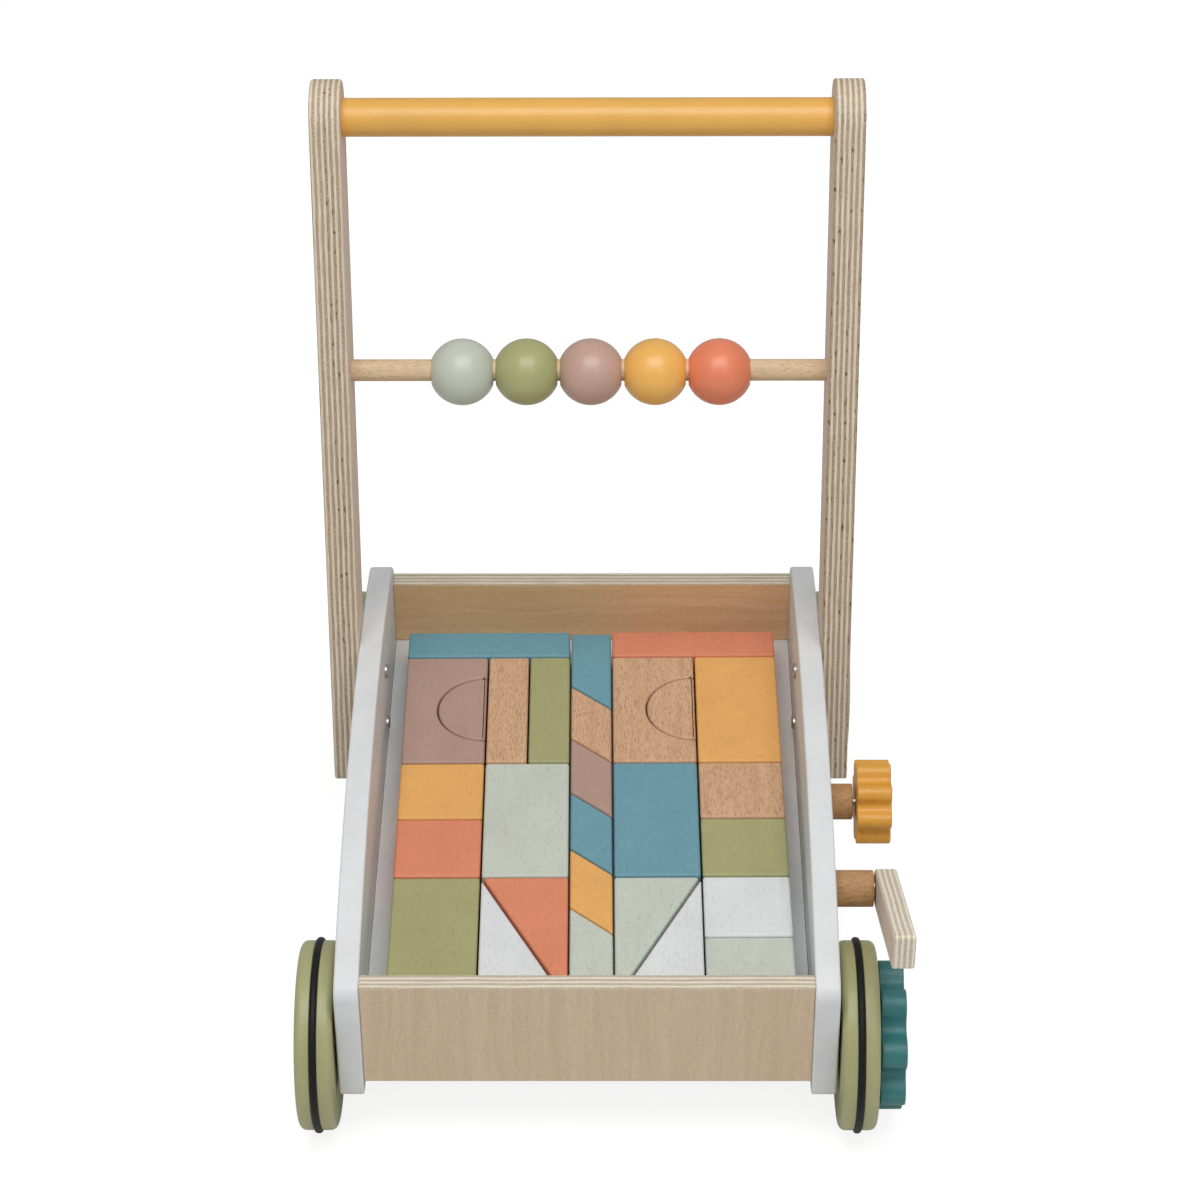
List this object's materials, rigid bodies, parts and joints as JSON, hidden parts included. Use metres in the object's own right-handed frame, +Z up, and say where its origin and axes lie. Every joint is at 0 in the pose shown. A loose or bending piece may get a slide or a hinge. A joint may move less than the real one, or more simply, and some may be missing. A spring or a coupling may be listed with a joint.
{
  "type": "baby walker",
  "caption": "Wooden push-along walker: a tray of loose building blocks on rubber-ringed wheels, leaning uprights with handle bar and bead rail, and a side knob, lobed gear and lever.",
  "frame": {"origin": "middle of the footprint, on the ground under the wheels", "axes": "+Z up, -Y the way the walker is pushed, +X to its right side as seen from the front"},
  "size_m": [0.331, 0.4328, 0.4757],
  "materials": {
    "white_paint": "satin paint",
    "birch_ply": "raw sanded plywood",
    "mustard_paint": "satin paint",
    "beech": "raw sanded wood",
    "mint_gloss": "gloss paint",
    "green_gloss": "gloss paint",
    "mauve_gloss": "gloss paint",
    "yellow_gloss": "gloss paint",
    "coral_gloss": "gloss paint",
    "steel": "zinc plated",
    "olive_paint": "satin paint",
    "rubber_ring": "matt rubber",
    "teal_paint": "satin paint",
    "block_blue": "matt paint",
    "block_coral": "matt paint",
    "block_mauve": "matt paint",
    "block_green": "matt paint",
    "block_yellow": "matt paint",
    "block_sage": "matt paint",
    "block_white": "matt paint"
  },
  "bodies": {
    "frame": {"left_side_panel": "white_paint", "right_side_panel": "white_paint", "front_panel": "birch_ply", "rear_panel": "birch_ply", "floor_board": "white_paint", "left_upright": "birch_ply", "right_upright": "birch_ply", "handle_bar": "mustard_paint", "bead_rail": "beech", "panel_screws": "steel", "upright_bolts": "steel", "axles": "steel", "axle_caps": "steel", "side_posts": "beech", "knob_screw": "steel", "lever_screw": "steel"},
    "front_left_wheel_set": {"front_left_wheel": "olive_paint", "front_left_tyre": "rubber_ring"},
    "front_right_wheel_set": {"front_right_wheel": "olive_paint", "front_right_tyre": "rubber_ring", "wheel_gear": "teal_paint"},
    "rear_left_wheel_set": {"rear_left_wheel": "olive_paint", "rear_left_tyre": "rubber_ring"},
    "rear_right_wheel_set": {"rear_right_wheel": "olive_paint", "rear_right_tyre": "rubber_ring"},
    "knob": {"knob": "mustard_paint"},
    "lever": {"lever": "birch_ply"},
    "bead_3": {"bead_3": "mauve_gloss"},
    "bead_2": {"bead_2": "green_gloss"},
    "bead_1": {"bead_1": "mint_gloss"},
    "bead_4": {"bead_4": "yellow_gloss"},
    "bead_5": {"bead_5": "coral_gloss"},
    "plank_left": {"plank_left": "block_blue"},
    "plank_right": {"plank_right": "block_coral"},
    "arch_mauve": {"arch_mauve": "block_mauve"},
    "half_round_mauve": {"half_round_mauve": "block_mauve"},
    "arch_beech": {"arch_beech": "beech"},
    "half_round_beech": {"half_round_beech": "beech"},
    "bar_beech": {"bar_beech": "beech"},
    "bar_green": {"bar_green": "block_green"},
    "brick_yellow_rear": {"brick_yellow_rear": "block_yellow"},
    "square_yellow": {"square_yellow": "block_yellow"},
    "square_coral": {"square_coral": "block_coral"},
    "brick_sage": {"brick_sage": "block_sage"},
    "brick_blue": {"brick_blue": "block_blue"},
    "square_beech": {"square_beech": "beech"},
    "square_green": {"square_green": "block_green"},
    "brick_green": {"brick_green": "block_green"},
    "square_white": {"square_white": "block_white"},
    "square_sage": {"square_sage": "block_sage"},
    "wedge_white_left": {"wedge_white_left": "block_white"},
    "wedge_coral": {"wedge_coral": "block_coral"},
    "wedge_sage": {"wedge_sage": "block_sage"},
    "wedge_white_right": {"wedge_white_right": "block_white"},
    "keystone_blue": {"keystone_blue": "block_blue"},
    "slant_beech": {"slant_beech": "beech"},
    "slant_mauve": {"slant_mauve": "block_mauve"},
    "slant_blue": {"slant_blue": "block_blue"},
    "slant_yellow": {"slant_yellow": "block_yellow"},
    "keystone_sage": {"keystone_sage": "block_sage"}
  },
  "joints": [
    {"name": "front_left_roll", "type": "hinge", "parent": "frame", "child": "front_left_wheel_set", "pos_m": [-0.1545, -0.15538, 0.05375], "axis": [1, 0, 0], "continuous": true},
    {"name": "front_right_roll", "type": "hinge", "parent": "frame", "child": "front_right_wheel_set", "pos_m": [0.1395, -0.15538, 0.05375], "axis": [1, 0, 0], "continuous": true},
    {"name": "rear_left_roll", "type": "hinge", "parent": "frame", "child": "rear_left_wheel_set", "pos_m": [-0.1545, 0.16262, 0.05375], "axis": [1, 0, 0], "continuous": true},
    {"name": "rear_right_roll", "type": "hinge", "parent": "frame", "child": "rear_right_wheel_set", "pos_m": [0.1395, 0.16262, 0.05375], "axis": [1, 0, 0], "continuous": true},
    {"name": "knob_spin", "type": "hinge", "parent": "frame", "child": "knob", "pos_m": [0.1515, -0.03238, 0.1172], "axis": [1, 0, 0], "continuous": true},
    {"name": "lever_swing", "type": "hinge", "parent": "frame", "child": "lever", "pos_m": [0.1575, -0.10237, 0.1142], "axis": [-1, 0, 0], "range_deg": [-33, 110]},
    {"name": "bead_3_slide", "type": "slide", "parent": "frame", "child": "bead_3", "axis": [1, 0, 0], "range_m": [-0.014, 0.014]},
    {"name": "bead_2_slide", "type": "slide", "parent": "bead_3", "child": "bead_2", "axis": [1, 0, 0], "range_m": [-0.014, 0]},
    {"name": "bead_1_slide", "type": "slide", "parent": "bead_2", "child": "bead_1", "axis": [1, 0, 0], "range_m": [-0.014, 0]},
    {"name": "bead_4_slide", "type": "slide", "parent": "bead_3", "child": "bead_4", "axis": [1, 0, 0], "range_m": [0, 0.014]},
    {"name": "bead_5_slide", "type": "slide", "parent": "bead_4", "child": "bead_5", "axis": [1, 0, 0], "range_m": [0, 0.014]},
    {"name": "plank_left_lift", "type": "slide", "parent": "frame", "child": "plank_left", "axis": [0, 0, 1], "range_m": [0, 0.1]},
    {"name": "plank_right_lift", "type": "slide", "parent": "frame", "child": "plank_right", "axis": [0, 0, 1], "range_m": [0, 0.1]},
    {"name": "arch_mauve_lift", "type": "slide", "parent": "frame", "child": "arch_mauve", "axis": [0, 0, 1], "range_m": [0, 0.1]},
    {"name": "half_round_mauve_lift", "type": "slide", "parent": "frame", "child": "half_round_mauve", "axis": [0, 0, 1], "range_m": [0, 0.1]},
    {"name": "arch_beech_lift", "type": "slide", "parent": "frame", "child": "arch_beech", "axis": [0, 0, 1], "range_m": [0, 0.1]},
    {"name": "half_round_beech_lift", "type": "slide", "parent": "frame", "child": "half_round_beech", "axis": [0, 0, 1], "range_m": [0, 0.1]},
    {"name": "bar_beech_lift", "type": "slide", "parent": "frame", "child": "bar_beech", "axis": [0, 0, 1], "range_m": [0, 0.1]},
    {"name": "bar_green_lift", "type": "slide", "parent": "frame", "child": "bar_green", "axis": [0, 0, 1], "range_m": [0, 0.1]},
    {"name": "brick_yellow_rear_lift", "type": "slide", "parent": "frame", "child": "brick_yellow_rear", "axis": [0, 0, 1], "range_m": [0, 0.1]},
    {"name": "square_yellow_lift", "type": "slide", "parent": "frame", "child": "square_yellow", "axis": [0, 0, 1], "range_m": [0, 0.1]},
    {"name": "square_coral_lift", "type": "slide", "parent": "frame", "child": "square_coral", "axis": [0, 0, 1], "range_m": [0, 0.1]},
    {"name": "brick_sage_lift", "type": "slide", "parent": "frame", "child": "brick_sage", "axis": [0, 0, 1], "range_m": [0, 0.1]},
    {"name": "brick_blue_lift", "type": "slide", "parent": "frame", "child": "brick_blue", "axis": [0, 0, 1], "range_m": [0, 0.1]},
    {"name": "square_beech_lift", "type": "slide", "parent": "frame", "child": "square_beech", "axis": [0, 0, 1], "range_m": [0, 0.1]},
    {"name": "square_green_lift", "type": "slide", "parent": "frame", "child": "square_green", "axis": [0, 0, 1], "range_m": [0, 0.1]},
    {"name": "brick_green_lift", "type": "slide", "parent": "frame", "child": "brick_green", "axis": [0, 0, 1], "range_m": [0, 0.1]},
    {"name": "square_white_lift", "type": "slide", "parent": "frame", "child": "square_white", "axis": [0, 0, 1], "range_m": [0, 0.1]},
    {"name": "square_sage_lift", "type": "slide", "parent": "frame", "child": "square_sage", "axis": [0, 0, 1], "range_m": [0, 0.1]},
    {"name": "wedge_white_left_lift", "type": "slide", "parent": "frame", "child": "wedge_white_left", "axis": [0, 0, 1], "range_m": [0, 0.1]},
    {"name": "wedge_coral_lift", "type": "slide", "parent": "frame", "child": "wedge_coral", "axis": [0, 0, 1], "range_m": [0, 0.1]},
    {"name": "wedge_sage_lift", "type": "slide", "parent": "frame", "child": "wedge_sage", "axis": [0, 0, 1], "range_m": [0, 0.1]},
    {"name": "wedge_white_right_lift", "type": "slide", "parent": "frame", "child": "wedge_white_right", "axis": [0, 0, 1], "range_m": [0, 0.1]},
    {"name": "keystone_blue_lift", "type": "slide", "parent": "frame", "child": "keystone_blue", "axis": [0, 0, 1], "range_m": [0, 0.1]},
    {"name": "slant_beech_lift", "type": "slide", "parent": "frame", "child": "slant_beech", "axis": [0, 0, 1], "range_m": [0, 0.1]},
    {"name": "slant_mauve_lift", "type": "slide", "parent": "frame", "child": "slant_mauve", "axis": [0, 0, 1], "range_m": [0, 0.1]},
    {"name": "slant_blue_lift", "type": "slide", "parent": "frame", "child": "slant_blue", "axis": [0, 0, 1], "range_m": [0, 0.1]},
    {"name": "slant_yellow_lift", "type": "slide", "parent": "frame", "child": "slant_yellow", "axis": [0, 0, 1], "range_m": [0, 0.1]},
    {"name": "keystone_sage_lift", "type": "slide", "parent": "frame", "child": "keystone_sage", "axis": [0, 0, 1], "range_m": [0, 0.1]}
  ]
}
